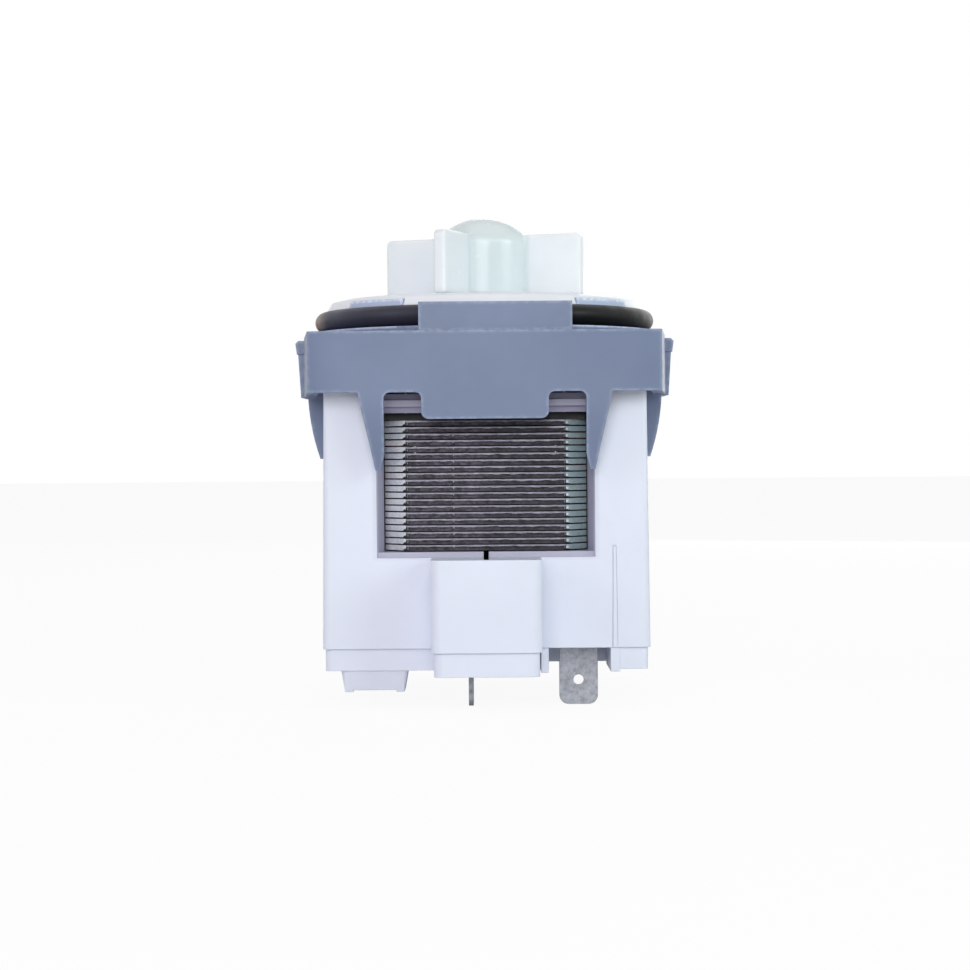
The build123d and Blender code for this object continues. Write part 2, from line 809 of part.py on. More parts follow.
# Bobbins: square tubes round the poles with a flange at each end
bobbin_tube_half_height = core_length / 2 + slip_gap + bobbin_wall
bobbin_flange_half_height = bobbin_tube_half_height + winding_thickness
with BuildPart() as bobbin_left:
    with BuildSketch(Plane.YZ.offset(-yoke_inner + slip_gap)):
        with Locations((0, core_middle_z)):
            Rectangle(2 * bobbin_tube_half, 2 * bobbin_tube_half_height)
    extrude(amount=bobbin_length)
    with BuildSketch(
        Plane.YZ.offset(-yoke_inner + slip_gap), Plane.YZ.offset(-bobbin_start - bobbin_wall)
    ):
        with Locations((0, core_middle_z)):
            Rectangle(2 * bobbin_half, 2 * bobbin_flange_half_height)
    extrude(amount=bobbin_wall)
    with BuildSketch(Plane.YZ.offset(-yoke_inner + slip_gap)):
        with Locations((0, core_middle_z)):
            Rectangle(2 * (pole_half + slip_gap), core_length + 2 * slip_gap)
    extrude(amount=bobbin_length, mode=Mode.SUBTRACT)
keep(bobbin_left, "bobbin_left")

with BuildPart() as bobbin_right:
    add(bobbin_left.part.rotate(Axis.Z, 180))
keep(bobbin_right, "bobbin_right")

# Windings between the bobbin flanges
with BuildPart() as winding_left:
    with BuildSketch(Plane.YZ.offset(-bobbin_start - bobbin_wall - winding_length)):
        with Locations((0, core_middle_z)):
            RectangleRounded(
                2 * (bobbin_half - slip_gap),
                2 * (bobbin_flange_half_height - slip_gap),
                winding_corner,
            )
            Rectangle(2 * bobbin_tube_half, 2 * bobbin_tube_half_height, mode=Mode.SUBTRACT)
    extrude(amount=winding_length)
keep(winding_left, "winding_left")

with BuildPart() as winding_right:
    add(winding_left.part.rotate(Axis.Z, 180))
keep(winding_right, "winding_right")

# Thermal cut-out, lying against the underside of the left winding
winding_bottom = bobbin_flange_half_height - slip_gap - core_middle_z
with BuildPart() as thermal_cutout:
    with BuildSketch(Plane.XY.offset(-winding_bottom)):
        with Locations((-bobbin_start - bobbin_wall - winding_length / 2, 0)):
            RectangleRounded(cutout_width, cutout_length, cutout_corner)
    extrude(amount=-cutout_height)
keep(thermal_cutout, "thermal_cutout")

# Terminals: flat tabs with a round locking hole and a narrower tang inside the cover
tab_root = seam_depth - cover_plug
tab_length = tab_tip_depth - tab_root

with BuildSketch() as tab_face:
    with Locations((0, -tab_tip_depth + tab_length / 2)):
        Rectangle(tab_width, tab_length)
    fillet(tab_face.vertices().group_by(Axis.Y)[0], radius=tab_corner)
    with Locations((0, -tab_root + tab_tang_length / 2)):
        Rectangle(tab_tang_width, tab_tang_length)
    with Locations((0, -tab_tip_depth + tab_hole_setback)):
        Circle(tab_hole_radius, mode=Mode.SUBTRACT)

with BuildPart() as terminal_tab_right:
    tab_front = Plane(origin=(bay_middle, -tab_y, 0), x_dir=(1, 0, 0), z_dir=(0, -1, 0))
    with BuildSketch(tab_front):
        add(tab_face.sketch)
    extrude(amount=tab_thickness / 2, both=True)
keep(terminal_tab_right, "terminal_tab_right")

with BuildPart() as terminal_tab_centre:
    tab_side = Plane(origin=(-centre_tab_offset, -tab_y, 0), x_dir=(0, 1, 0), z_dir=(1, 0, 0))
    with BuildSketch(tab_side):
        add(tab_face.sketch)
    extrude(amount=tab_thickness / 2, both=True)
keep(terminal_tab_centre, "terminal_tab_centre")


def ring(outer, inner, low, high):
    """A plain ring about the rotor's axis between two heights."""
    with BuildPart() as body:
        with BuildSketch(Plane.XY.offset(low)):
            Circle(outer)
            Circle(inner, mode=Mode.SUBTRACT)
        extrude(amount=high - low)
    return body


# Bearings: plain bushes in rubber rings, the front one in the cap and the rear one in the can
front_bearing = ring(bush_radius, shaft_radius + shaft_gap, front_bush_bottom, front_bush_top)
keep(front_bearing, "front_bearing")
rear_bearing = ring(bush_radius, shaft_radius + shaft_gap, rear_bush_bottom, rear_bush_top)
keep(rear_bearing, "rear_bearing")
front_bearing_mount = ring(mount_ring_radius, bush_radius, front_bush_bottom, front_bush_top)
keep(front_bearing_mount, "front_bearing_mount")
rear_bearing_mount = ring(mount_ring_radius, bush_radius, pocket_floor_z, rear_bush_top)
keep(rear_bearing_mount, "rear_bearing_mount")

# Lip seal round the shaft in the cap, and the washers at the ends of the rotor
shaft_seal = ring(bush_radius, shaft_radius + shaft_gap, cap_top - seal_thickness, cap_top)
keep(shaft_seal, "shaft_seal")
front_washer_low = front_bush_bottom - thrust_washer_thickness - slip_gap
front_thrust_washer = ring(
    thrust_washer_radius,
    shaft_radius + shaft_gap,
    front_washer_low,
    front_washer_low + thrust_washer_thickness,
)
keep(front_thrust_washer, "front_thrust_washer")
rear_washer_low = rear_bush_top + slip_gap
rear_thrust_washer = ring(
    thrust_washer_radius,
    shaft_radius + shaft_gap,
    rear_washer_low,
    rear_washer_low + thrust_washer_thickness,
)
keep(rear_thrust_washer, "rear_thrust_washer")

# Rotor core: a moulded sleeve on the shaft with a flange at the front end of the magnet
rear_washer_top = rear_washer_low + thrust_washer_thickness
with BuildPart() as rotor_core:
    with BuildSketch(Plane.XY.offset(rear_washer_top)):
        Circle(shaft_radius + sleeve_neck_wall)
    extrude(amount=front_washer_low - rear_washer_top)
    with BuildSketch(Plane.XY.offset(-magnet_bottom)):
        Circle(sleeve_radius)
    extrude(amount=magnet_bottom - magnet_top)
    with BuildSketch(Plane.XY.offset(-magnet_top)):
        Circle(sleeve_flange_radius)
    extrude(amount=sleeve_flange_thickness)
    with BuildSketch(Plane.XY.offset(rear_washer_top)):
        Circle(shaft_radius)
    extrude(amount=front_washer_low - rear_washer_top, mode=Mode.SUBTRACT)
keep(rotor_core, "rotor_core")

rotor_magnet = ring(magnet_radius, sleeve_radius, -magnet_bottom, -magnet_top)
keep(rotor_magnet, "rotor_magnet")

# Impeller: blades round a domed hub, with a cavity for the lost-motion drive
cavity_top = impeller_bottom + hub_cavity_height
stop_inner_radius = shaft_radius + dog_ring_wall + wall_gap
stop_middle = impeller_turn + 180
blade_top = impeller_bottom + blade_height
hub_top = impeller_bottom + hub_height
hub_shoulder = hub_top - dome_height
dome_radius = (hub_radius**2 + dome_height**2) / (2 * dome_height)
dome_middle = (hub_radius / 2, hub_top - dome_radius + sqrt(dome_radius**2 - (hub_radius / 2) ** 2))

with BuildPart() as blade:
    with BuildSketch(Plane.XZ):
        with BuildLine():
            Polyline(
                (stop_inner_radius, cavity_top),
                (hub_radius - dog_ring_wall, impeller_bottom),
                (blade_radius, impeller_bottom),
                (blade_radius, blade_top - blade_corner),
                (blade_radius - blade_corner, blade_top),
                (stop_inner_radius, blade_top),
                close=True,
            )
        make_face()
    extrude(amount=blade_thickness / 2, both=True)

with BuildPart() as impeller:
    with BuildSketch(Plane.XZ) as hub_profile:
        with BuildLine():
            Polyline(
                (0, hub_top),
                (0, impeller_bottom),
                (hub_radius, impeller_bottom),
                (hub_radius, hub_shoulder),
            )
            ThreePointArc((hub_radius, hub_shoulder), dome_middle, (0, hub_top))
        make_face()
        fillet(hub_profile.vertices().sort_by(Axis.Y)[-2], radius=dome_corner)
    revolve(axis=Axis.Z)
    with PolarLocations(0, blade_count, start_angle=impeller_turn):
        add(blade.part)

    # Cavity with the stop, and the socket that turns on the end of the shaft
    with BuildSketch(Plane.XY.offset(impeller_bottom)):
        Circle(hub_cavity_radius)
    extrude(amount=hub_cavity_height, mode=Mode.SUBTRACT)
    with BuildSketch(Plane.XY.offset(impeller_bottom + retainer_thickness)):
        add(sector(hub_cavity_radius + slip_gap, stop_angle, stop_middle))
        Circle(stop_inner_radius, mode=Mode.SUBTRACT)
    extrude(amount=hub_cavity_height - retainer_thickness)
    with BuildSketch(Plane.XY.offset(cavity_top)):
        Circle(shaft_radius + shaft_gap)
    extrude(amount=shaft_socket_depth, mode=Mode.SUBTRACT)
keep(impeller, "impeller")

# Ring that closes the cavity below
retainer_top = impeller_bottom + retainer_thickness
hub_retainer = ring(
    hub_cavity_radius, shaft_radius + retainer_bore_gap, impeller_bottom, retainer_top
)
keep(hub_retainer, "hub_retainer")

# Rubber pads on both faces of the stop
damper_offset = (stop_angle + damper_angle) / 2
with BuildPart() as lash_dampers:
    with BuildSketch(Plane.XY.offset(retainer_top)):
        add(sector(hub_cavity_radius, damper_angle, stop_middle - damper_offset))
        add(sector(hub_cavity_radius, damper_angle, stop_middle + damper_offset))
        Circle(stop_inner_radius, mode=Mode.SUBTRACT)
    extrude(amount=dog_height)
keep(lash_dampers, "lash_dampers")

# Dog on the shaft: it starts opposite the stop and turns freely until it meets a pad
dog_bottom = retainer_top + slip_gap
with BuildPart() as lash_dog:
    with BuildSketch(Plane.XY.offset(dog_bottom)):
        add(sector(hub_cavity_radius - wall_gap, dog_angle, impeller_turn))
        Circle(shaft_radius + dog_ring_wall)
        Circle(shaft_radius, mode=Mode.SUBTRACT)
    extrude(amount=dog_height)
keep(lash_dog, "lash_dog")
print("free play of the impeller each way:", 180 - (stop_angle + dog_angle) / 2 - damper_angle)

# Shaft, from the rear pocket to the impeller's socket
shaft_bottom = pocket_floor_z + pad_depth / 2
shaft_top = cavity_top + shaft_socket_depth - wall_gap
with BuildPart() as rotor_shaft:
    with BuildSketch(Plane.XY.offset(shaft_bottom)):
        Circle(shaft_radius)
    extrude(amount=shaft_top - shaft_bottom)
    chamfer(rotor_shaft.edges().filter_by(GeomType.CIRCLE), length=wall_gap)
keep(rotor_shaft, "rotor_shaft")
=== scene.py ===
import json
import math

import bpy
from mathutils import Matrix, Vector, geometry, noise


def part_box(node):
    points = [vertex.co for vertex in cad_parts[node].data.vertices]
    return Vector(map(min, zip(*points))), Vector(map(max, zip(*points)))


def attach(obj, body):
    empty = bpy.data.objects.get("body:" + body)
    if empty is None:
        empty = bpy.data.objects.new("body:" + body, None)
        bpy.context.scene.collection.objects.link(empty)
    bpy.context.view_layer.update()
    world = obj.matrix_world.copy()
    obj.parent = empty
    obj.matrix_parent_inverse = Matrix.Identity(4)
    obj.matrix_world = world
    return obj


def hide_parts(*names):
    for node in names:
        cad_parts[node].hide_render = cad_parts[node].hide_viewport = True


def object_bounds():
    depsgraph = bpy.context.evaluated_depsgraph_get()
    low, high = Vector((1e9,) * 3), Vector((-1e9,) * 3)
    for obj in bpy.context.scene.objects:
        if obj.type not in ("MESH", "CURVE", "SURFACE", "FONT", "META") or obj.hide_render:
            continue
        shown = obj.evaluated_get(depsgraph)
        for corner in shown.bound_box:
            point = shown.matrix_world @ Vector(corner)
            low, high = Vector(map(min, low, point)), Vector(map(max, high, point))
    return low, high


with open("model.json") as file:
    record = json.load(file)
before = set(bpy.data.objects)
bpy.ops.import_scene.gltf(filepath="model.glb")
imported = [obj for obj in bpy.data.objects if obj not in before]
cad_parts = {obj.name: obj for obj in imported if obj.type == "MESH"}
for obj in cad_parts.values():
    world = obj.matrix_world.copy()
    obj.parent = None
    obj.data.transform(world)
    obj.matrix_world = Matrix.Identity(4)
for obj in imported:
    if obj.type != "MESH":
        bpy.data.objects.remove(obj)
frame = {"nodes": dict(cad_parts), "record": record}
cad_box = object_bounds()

# Dress of a washer drain pump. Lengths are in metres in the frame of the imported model:
# +Z points to the impeller, the terminal side faces -Y.
MM = 0.001

nodes = frame["nodes"]
scene = bpy.context.scene
scene.view_settings.view_transform = "Standard"

# Camera, placed from the perspective of the photograph
CAMERA_DISTANCE = 420 * MM
EYE_HEIGHT = -19.2 * MM
CAMERA_SHIFT = -0.1 * MM
LOOK_HEIGHT = -25.2 * MM
CAMERA_ROLL = math.radians(-0.45)
PIXEL_AT_AXIS = 0.1725 * MM
PICTURE_PIXELS = 970
SENSOR = 36.0
CLIP_START = 10 * MM

# Colours as the eye reads them on a screen
WHITE_PLASTIC = (0.885, 0.897, 0.955)
CAP_WHITE = (0.950, 0.955, 0.985)
IMPELLER_WHITE = (0.930, 0.950, 0.975)
BLUE_GREY = (0.435, 0.482, 0.597)
INNER_WHITE = (0.80, 0.80, 0.79)
BOBBIN_CREAM = (0.86, 0.83, 0.75)
# Painted sheen on the O-ring's left side
RUBBER_LEFT_SHEEN = (0.240, 0.245, 0.315)
RUBBER_BLACK = (0.045, 0.045, 0.055)
STEEL_BRIGHT = (0.640, 0.660, 0.690)
STEEL_DARK = (0.270, 0.260, 0.295)
TIN_GREY = (0.645, 0.650, 0.680)
COPPER = (0.62, 0.30, 0.14)
BUSH_GREY = (0.24, 0.24, 0.25)
FERRITE_GREY = (0.20, 0.20, 0.21)
CASE_BLACK = (0.16, 0.16, 0.17)
FLOOR_WHITE = (0.95, 0.95, 0.953)

# Colours of the sheets' cut edges
BAND_GREY = (0.455, 0.450, 0.500)
TORN_LEFT = (0.180, 0.158, 0.190)
TORN_RIGHT = (0.118, 0.105, 0.130)
# Painted shade on the torn steel: under the band, in the slits and along the lower edge
TORN_SHADOW_GREY = (0.080, 0.074, 0.095)
# Burnished steel on the sloped ends with a painted reflection: silver-white on the left, greenish
# on the right
CORNER_LEFT_REFLECTION = (0.960, 0.970, 0.985)
CORNER_RIGHT_REFLECTION = (0.700, 0.780, 0.785)

# Shade and light of single zones, as factors of a colour on the screen
RECESS_SHADE = (0.71, 0.68, 0.74)
RAIL_SHADE = (0.95, 0.95, 0.97)
PRESS_SHADE = (0.12, 0.12, 0.13)
HUB_SHADE = (0.925, 0.945, 0.930)
STREAK_SHADE = (0.75, 0.72, 0.70)
LEDGE_LIGHT = (1.45, 1.42, 1.36)
SPIGOT_LIGHT = (1.66, 1.60, 1.48)
EDGE_LIGHT = (1.34, 1.30, 1.23)
# Lighter and browner towards the O-ring's left and right ends
RING_ENDS_LIGHTER = (2.50, 2.10, 1.50)

# The zones themselves: where each limit is full and where it has ended.
# X and Y are distances to either side of the axis, R is the distance from it, Z is the height.
seat_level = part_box("flange_o_ring")[0][2]
LEDGE_ZONE = {
    "X": (14.4 * MM, 14.1 * MM),
    "R": (28.9 * MM, 28.6 * MM),
    "Z": (seat_level - 0.1 * MM, seat_level - 0.4 * MM),
}
SPIGOT_ZONE = {
    "R": (28.3 * MM, 28.6 * MM),
    "Z": (seat_level + 1.0 * MM, seat_level + 0.5 * MM),
}
PRESS_ZONE = {
    "X": (17.4 * MM, 17.6 * MM),
    "Y": (25.4 * MM, 25.8 * MM),
    "Z": (-10.5 * MM, -9.5 * MM),
}
RECESS_ZONE = {
    "X": (18.0 * MM, 18.5 * MM),
    "Y": (26.2 * MM, 27.5 * MM),
    "Z": (-36.6 * MM, -37.1 * MM),
}
RAIL_ZONE = {
    "X": (18.0 * MM, 18.5 * MM),
    "Y": (27.2 * MM, 27.5 * MM),
    "Z": (-14.0 * MM, -14.4 * MM),
}
HUB_ZONE = {"R": (8.3 * MM, 9.2 * MM)}
RING_END_ZONE = {"X": (29.0 * MM, 26.5 * MM)}

# Surfaces: how broad their edges are in the shading, the noises in waves per metre, the span
# that most of a noise lies in, and how far red, green and blue light go under a surface
SOFT_EDGE = 0.22 * MM
PALE_EDGE = 1.0 * MM
CLOUD_WAVES = 55
SINK_WAVES = 240
WEAR_WAVES = 700
# Patches of the painted edge highlights
EDGE_PATCH_WAVES = 900
GRAIN_WAVES = 9000
STREAK_WAVES = 160
SKIN_WAVES = 320
SKIN_GRAIN_WAVES = 5200
ROUGHNESS_WEAR = 0.06
NOISE_LOW = 0.3
NOISE_HIGH = 0.7
SCATTER = (1.0, 1.0, 0.95)

# How far to either side of the axis the left and right colours of a piece blend
RING_BLEND = 24 * MM
JOINT_BLEND = 2 * MM

# Painted highlights on edges: how far the rounded surface agrees with the true one on a face and on
# an edge, and the span of the noise that leaves patches of the highlights weaker
FACE_MATCH = 0.99
EDGE_MATCH = 0.90
PATCH_LOW = 0.42
PATCH_HIGH = 0.6
PATCH_LEAST = 0.35


def linear(colour):
    """The scene value of a colour on the screen, by the sRGB curve."""
    channels = (c / 12.92 if c <= 0.04045 else ((c + 0.055) / 1.055) ** 2.4 for c in colour)
    return (*channels, 1.0)


def scaled(colour, factor):
    """A colour made darker or lighter."""
    return tuple(min(c * factor, 1.0) for c in colour)


class Shader:
    """A material with a Principled shader and short calls for the nodes that feed it."""

    def __init__(self, name, colour, roughness, **settings):
        self.material = bpy.data.materials.new(name)
        self.material.use_nodes = True
        self.tree = self.material.node_tree
        self.shader = self.tree.nodes["Principled BSDF"]
        self.set("Base Color", linear(colour))
        self.set("Roughness", roughness)
        self.set("Subsurface Radius", SCATTER)
        for socket, value in settings.items():
            self.set(socket.replace("_", " "), value)
        self.coordinates = self.tree.nodes.new("ShaderNodeTexCoord").outputs["Object"]
        self.relief = None

    def set(self, socket, value):
        self.shader.inputs[socket].default_value = value

    def node(self, kind, **values):
        made = self.tree.nodes.new(kind)
        for key, value in values.items():
            setattr(made, key, value)
        return made

    def link(self, source, target):
        self.tree.links.new(source, target)

    def axes(self):
        """The x, y and z of the surface in the object's own space."""
        made = self.node("ShaderNodeSeparateXYZ")
        self.link(self.coordinates, made.inputs["Vector"])
        return made.outputs

    def radius(self):
        """The distance of the surface from the pump's axis."""
        flat = self.node("ShaderNodeVectorMath", operation="MULTIPLY")
        self.link(self.coordinates, flat.inputs[0])
        flat.inputs[1].default_value = (1, 1, 0)
        length = self.node("ShaderNodeVectorMath", operation="LENGTH")
        self.link(flat.outputs["Vector"], length.inputs[0])
        return length.outputs["Value"]

    def absolute(self, source):
        made = self.node("ShaderNodeMath", operation="ABSOLUTE")
        self.link(source, made.inputs[0])
        return made.outputs["Value"]

    def product(self, first, second):
        made = self.node("ShaderNodeMath", operation="MULTIPLY")
        self.link(first, made.inputs[0])
        self.link(second, made.inputs[1])
        return made.outputs["Value"]

    def noise(self, waves, detail=4.0, roughness=0.55, stretch=(1, 1, 1)):
        """Noise from 0 to 1 in the object's own space."""
        mapping = self.node("ShaderNodeMapping")
        mapping.inputs["Scale"].default_value = stretch
        self.link(self.coordinates, mapping.inputs["Vector"])
        made = self.node("ShaderNodeTexNoise")
        made.inputs["Scale"].default_value = waves
        made.inputs["Detail"].default_value = detail
        made.inputs["Roughness"].default_value = roughness
        self.link(mapping.outputs["Vector"], made.inputs["Vector"])
        return made.outputs["Fac"]

    def spread(self, source, low, high, out_low=0.0, out_high=1.0):
        """Map a span of values to another span, clamped."""
        made = self.node("ShaderNodeMapRange")
        made.inputs["From Min"].default_value = low
        made.inputs["From Max"].default_value = high
        made.inputs["To Min"].default_value = out_low
        made.inputs["To Max"].default_value = out_high
        self.link(source, made.inputs["Value"])
        return made.outputs["Result"]

    def rounded(self, radius, samples):
        """The way the surface faces, with its edges rounded off."""
        made = self.node("ShaderNodeBevel", samples=samples)
        made.inputs["Radius"].default_value = radius
        return made.outputs["Normal"]

    def tint(self, source, colours):
        """Colour the surface by a value, from the first colour to the last at their places."""
        ramp = self.node("ShaderNodeValToRGB")
        stops = ramp.color_ramp.elements
        while len(stops) < len(colours):
            stops.new(0.5)
        for stop, (place, colour) in zip(stops, colours):
            stop.position = place
            stop.color = linear(colour)
        self.link(source, ramp.inputs["Fac"])
        self.link(ramp.outputs["Color"], self.shader.inputs["Base Color"])

    def multiply(self):
        """Put a factor before the base colour. Returns the sockets of its share and colour."""
        mixed = self.node("ShaderNodeMix", data_type="RGBA", blend_type="MULTIPLY")
        base = self.shader.inputs["Base Color"]
        self.link(base.links[0].from_socket, mixed.inputs["A"])
        self.link(mixed.outputs["Result"], base)
        return mixed.inputs["Factor"], mixed.inputs["B"]

    def shade(self, source, colour):
        """Multiply the base colour by another where the source is 1."""
        share, factor = self.multiply()
        self.link(source, share)
        factor.default_value = linear(colour)

    def vary_roughness(self, source, low, high):
        varied = self.spread(source, NOISE_LOW, NOISE_HIGH, low, high)
        self.link(varied, self.shader.inputs["Roughness"])

    def bump(self, source, depth, strength=1.0):
        """Add relief of the given depth in metres to what is there."""
        made = self.node("ShaderNodeBump")
        made.inputs["Distance"].default_value = depth
        made.inputs["Strength"].default_value = strength
        self.link(source, made.inputs["Height"])
        if self.relief is not None:
            self.link(self.relief, made.inputs["Normal"])
        self.relief = made.outputs["Normal"]
        self.link(self.relief, self.shader.inputs["Normal"])


def moulded(name, colour, roughness, shade=0.05, grain=0.004 * MM, sink=0.02 * MM, **settings):
    """Injection-moulded plastic: flow clouds, spark-eroded grain, handling wear, soft edges."""
    made = Shader(name, colour, roughness, **settings)
    made.tint(
        made.spread(made.noise(CLOUD_WAVES, detail=3), NOISE_LOW, NOISE_HIGH),
        [(0.0, scaled(colour, 1 - shade)), (0.5, colour), (1.0, scaled(colour, 1 + shade))],
    )
    wear = made.noise(WEAR_WAVES, detail=5)
    made.vary_roughness(wear, roughness - ROUGHNESS_WEAR, roughness + ROUGHNESS_WEAR)
    made.relief = made.rounded(SOFT_EDGE, samples=4)
    made.bump(made.noise(GRAIN_WAVES, detail=2), grain)
    made.bump(made.noise(SINK_WAVES, detail=2), sink, strength=0.5)
    return made


def shade_zone(made, colour, zone):
    """Multiply the colour inside a zone."""
    axes = made.axes()
    inside = None
    for axis, (full, none) in zone.items():
        if axis == "R":
            place = made.radius()
        elif axis == "Z":
            place = axes["Z"]
        else:
            place = made.absolute(axes[axis])
        share = made.spread(place, full, none, 1.0, 0.0)
        inside = share if inside is None else made.product(inside, share)
    made.shade(inside, colour)


def paint_edge_highlights(made, radius, colour):
    """Paint uneven highlights on the edges of a moulding: where rounding them would turn the
    surface.
    """
    surface = made.node("ShaderNodeNewGeometry")
    match = made.node("ShaderNodeVectorMath", operation="DOT_PRODUCT")
    made.link(made.rounded(radius, samples=6), match.inputs[0])
    made.link(surface.outputs["Normal"], match.inputs[1])
    edge = made.spread(match.outputs["Value"], FACE_MATCH, EDGE_MATCH)
    patches = made.noise(EDGE_PATCH_WAVES, detail=3)
    highlight_patches = made.spread(patches, PATCH_LOW, PATCH_HIGH, PATCH_LEAST, 1.0)
    made.shade(made.product(edge, highlight_patches), colour)


def rubber(name):
    """Moulded rubber: a soft black with a fine matt skin and dusty streaks, a painted sheen on its
    left side, and lighter and browner towards its left and right ends.
    """
    made = Shader(name, RUBBER_BLACK, 0.42, Specular_IOR_Level=0.2)
    # Painted sheen on the left side, fading into the plain black towards the right
    across = made.spread(made.axes()["X"], -RING_BLEND, RING_BLEND)
    made.tint(across, [(0.0, RUBBER_LEFT_SHEEN), (0.7, RUBBER_BLACK)])
    made.shade(made.noise(STREAK_WAVES, detail=4, stretch=(1, 1, 3)), STREAK_SHADE)
    shade_zone(made, RING_ENDS_LIGHTER, RING_END_ZONE)
    made.vary_roughness(made.noise(SKIN_WAVES, detail=4), 0.34, 0.52)
    made.bump(made.noise(SKIN_GRAIN_WAVES, detail=2), 0.004 * MM)
    return made.material


def metal(name, colour, roughness, mottle=0.12, grain=1500, stretch=(1, 1, 1)):
    """Bare or plated metal with a mottled surface and small pits."""
    made = Shader(name, colour, roughness, Metallic=0.55)
    dark, light = scaled(colour, 1 - 1.6 * mottle), scaled(colour, 1 + mottle)
    made.tint(
        made.noise(grain, detail=6, roughness=0.7, stretch=stretch),
        [(0.25, dark), (0.5, colour), (0.75, light)],
    )
    made.vary_roughness(made.noise(grain / 3, detail=4), roughness - 0.1, roughness + 0.12)
    made.bump(made.noise(2 * grain, detail=5, roughness=0.7), 0.006 * MM)
    return made.material


def sheared(name, left, right, roughness, shades, grain, relief, metallic):
    """A cut sheet edge, from a left to a right colour, with a mottle between two shades."""
    made = Shader(name, left, roughness, Metallic=metallic)
    made.tint(made.spread(made.axes()["X"], -JOINT_BLEND, JOINT_BLEND), [(0.0, left), (1.0, right)])
    mottle = made.noise(grain, detail=6, roughness=0.75, stretch=(0.5, 0.5, 1))
    share, factor = made.multiply()
    share.default_value = 1.0
    made.link(made.spread(mottle, 0.40, 0.62, *shades), factor)
    made.vary_roughness(made.noise(grain / 2, detail=3), roughness - 0.08, roughness + 0.1)
    made.bump(made.noise(2 * grain, detail=5, roughness=0.75), relief)
    return made.material


def flange_plastic():
    """Blue-grey, with painted highlights on its edges, painted light round the O-ring's seat and
    painted shade on the press bars.
    """
    made = moulded("flange_plastic", BLUE_GREY, 0.43, shade=0.035)
    paint_edge_highlights(made, PALE_EDGE, EDGE_LIGHT)
    shade_zone(made, LEDGE_LIGHT, LEDGE_ZONE)
    shade_zone(made, SPIGOT_LIGHT, SPIGOT_ZONE)
    shade_zone(made, PRESS_SHADE, PRESS_ZONE)
    return made.material


def housing_plastic():
    """White and slightly milky, with shade in the windows' recess and on their head rail."""
    made = moulded(
        "housing_plastic",
        WHITE_PLASTIC,
        0.40,
        shade=0.012,
        Subsurface_Weight=0.1,
        Subsurface_Scale=0.8 * MM,
    )
    shade_zone(made, RECESS_SHADE, RECESS_ZONE)
    shade_zone(made, RAIL_SHADE, RAIL_ZONE)
    return made.material


def cap_plastic():
    """A milkier and smoother white."""
    made = moulded(
        "cap_plastic",
        CAP_WHITE,
        0.36,
        shade=0.012,
        sink=0.006 * MM,
        Subsurface_Weight=0.2,
        Subsurface_Scale=1 * MM,
    )
    return made.material


def impeller_plastic():
    """Translucent and glossy, with a little shade on the thick hub."""
    made = moulded(
        "impeller_plastic",
        IMPELLER_WHITE,
        0.22,
        shade=0.02,
        grain=0.001 * MM,
        sink=0.008 * MM,
        Subsurface_Weight=0.7,
        Subsurface_Scale=3 * MM,
        Specular_IOR_Level=0.35,
        Coat_Weight=0.2,
        Coat_Roughness=0.06,
    )
    shade_zone(made, HUB_SHADE, HUB_ZONE)
    return made.material


# Finish of each slot of the frame
slot_finish = {
    "flange_plastic": flange_plastic(),
    "housing_plastic": housing_plastic(),
    "cap_plastic": cap_plastic(),
    "impeller_plastic": impeller_plastic(),
    "seal_rubber": rubber("seal_rubber"),
    "core_steel": metal("core_steel", STEEL_DARK, 0.45),
    "rivet_steel": metal("rivet_steel", STEEL_BRIGHT, 0.35),
    "tab_metal": metal("tab_metal", TIN_GREY, 0.46, mottle=0.16, grain=1100),
    "shaft_steel": metal("shaft_steel", STEEL_BRIGHT, 0.25, mottle=0.05, stretch=(1, 1, 0.05)),
    "bush_ceramic": moulded("bush_ceramic", BUSH_GREY, 0.5, shade=0.15).material,
    "magnet_ferrite": moulded("magnet_ferrite", FERRITE_GREY, 0.55, shade=0.2).material,
    "bobbin_plastic": moulded("bobbin_plastic", BOBBIN_CREAM, 0.45).material,
    "winding_wire": metal("winding_wire", COPPER, 0.3, grain=900, stretch=(6, 0.4, 0.4)),
    "inner_plastic": moulded("inner_plastic", INNER_WHITE, 0.4).material,
    "cutout_case": moulded("cutout_case", CASE_BLACK, 0.4).material,
}
for row in frame["record"]["subparts"]:
    mesh = nodes[row["node"]].data
    mesh.materials.clear()
    mesh.materials.append(slot_finish[row["material_slot"]])

# Finishes of the sheets' cut edges, and the numbers that pick them. The darkest torn finish is
# painted shade, the corner finish is burnished steel with a painted reflection, and the glint is a
# painted highlight.
BAND, TORN, TORN_SHADOW, CORNER_REFLECTION, GLINT = range(5)
sheet_finishes = [
    sheared(
        "sheet_band",
        BAND_GREY,
        BAND_GREY,
        0.42,
        shades=(0.75, 1.3),
        grain=2600,
        relief=0.008 * MM,
        metallic=0.5,
    ),
    sheared(
        "sheet_torn",
        TORN_LEFT,
        TORN_RIGHT,
        0.62,
        shades=(0.3, 3.4),
        grain=2200,
        relief=0.03 * MM,
        metallic=0.2,
    ),
    sheared(
        "sheet_torn_shadow",
        TORN_SHADOW_GREY,
        TORN_SHADOW_GREY,
        0.7,
        shades=(0.6, 1.6),
        grain=4200,
        relief=0.02 * MM,
        metallic=0.1,
    ),
    sheared(
        "sheet_corner_reflection",
        CORNER_LEFT_REFLECTION,
        CORNER_RIGHT_REFLECTION,
        0.4,
        shades=(0.88, 1.08),
        grain=2200,
        relief=0.006 * MM,
        metallic=0.0,
    ),
    sheared(
        "sheet_glint",
        CAP_WHITE,
        CAP_WHITE,
        0.2,
        shades=(1.0, 1.1),
        grain=2200,
        relief=0.002 * MM,
        metallic=0.0,
    ),
]

